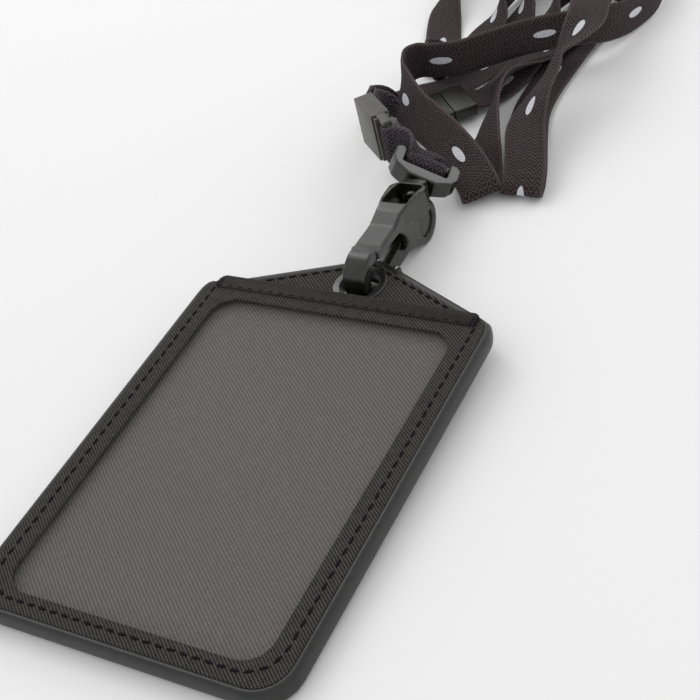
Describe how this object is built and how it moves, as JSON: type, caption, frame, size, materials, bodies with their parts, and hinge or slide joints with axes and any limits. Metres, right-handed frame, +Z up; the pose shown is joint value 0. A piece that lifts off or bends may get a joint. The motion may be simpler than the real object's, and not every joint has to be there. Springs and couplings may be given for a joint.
{
  "type": "lanyard badge holder",
  "caption": "Woven badge sleeve with a clear window and eyelet, hanging from a gated swivel hook, a side-release buckle and a folded neck strap.",
  "frame": {"origin": "middle of the box of the sleeve, hook and tab, on the surface they lie on", "axes": "+Y from the sleeve's foot to the hook and strap, +Z up from the surface"},
  "size_m": [0.0789, 0.267, 0.0199],
  "materials": {
    "woven_fabric": "matte",
    "board": "matte",
    "lining": "matte",
    "film": "gloss",
    "tape": "matte",
    "binding": "satin",
    "eyelet_metal": "gloss",
    "hook_plastic": "satin",
    "buckle_plastic": "satin",
    "clasp_plastic": "satin",
    "webbing": "matte"
  },
  "bodies": {
    "strap": {"neck_strap": "webbing", "clasp_webbing": "webbing", "clasp_plug": "buckle_plastic", "clasp_socket": "clasp_plastic", "buckle_socket": "buckle_plastic"},
    "tab": {"buckle_plug": "buckle_plastic", "tab_webbing": "webbing", "swivel_loop": "hook_plastic"},
    "hook": {"hook_body": "hook_plastic"},
    "gate": {"hook_gate": "hook_plastic"},
    "sleeve": {"back_panel": "woven_fabric", "stiffener_board": "board", "lining_panel": "lining", "pocket_gusset": "woven_fabric", "window_film": "film", "front_frame": "woven_fabric", "mouth_hem": "tape", "edge_binding": "binding", "eyelet_barrel": "eyelet_metal", "eyelet_washer": "eyelet_metal"}
  },
  "joints": [
    {"name": "buckle_release", "type": "slide", "parent": "strap", "child": "tab", "axis": [0.757, -0.6534, 0], "range_m": [0, 0.008]},
    {"name": "hook_swivel", "type": "hinge", "parent": "tab", "child": "hook", "pos_m": [0.0004, 0.05254, 0.0109], "axis": [-0.2079, 0.9781, 0], "continuous": true},
    {"name": "hook_gate", "type": "hinge", "parent": "hook", "child": "gate", "pos_m": [0.0004, 0.04904, 0.0053], "axis": [-1, 0, 0], "range_deg": [0, 18], "stiffness_Nm_per_rad": 0.05, "springref_deg": -11.46},
    {"name": "badge_swing", "type": "hinge", "parent": "hook", "child": "sleeve", "pos_m": [0.0004, 0.02184, 0.0058], "axis": [1, 0, 0], "range_deg": [-8, 12]}
  ]
}
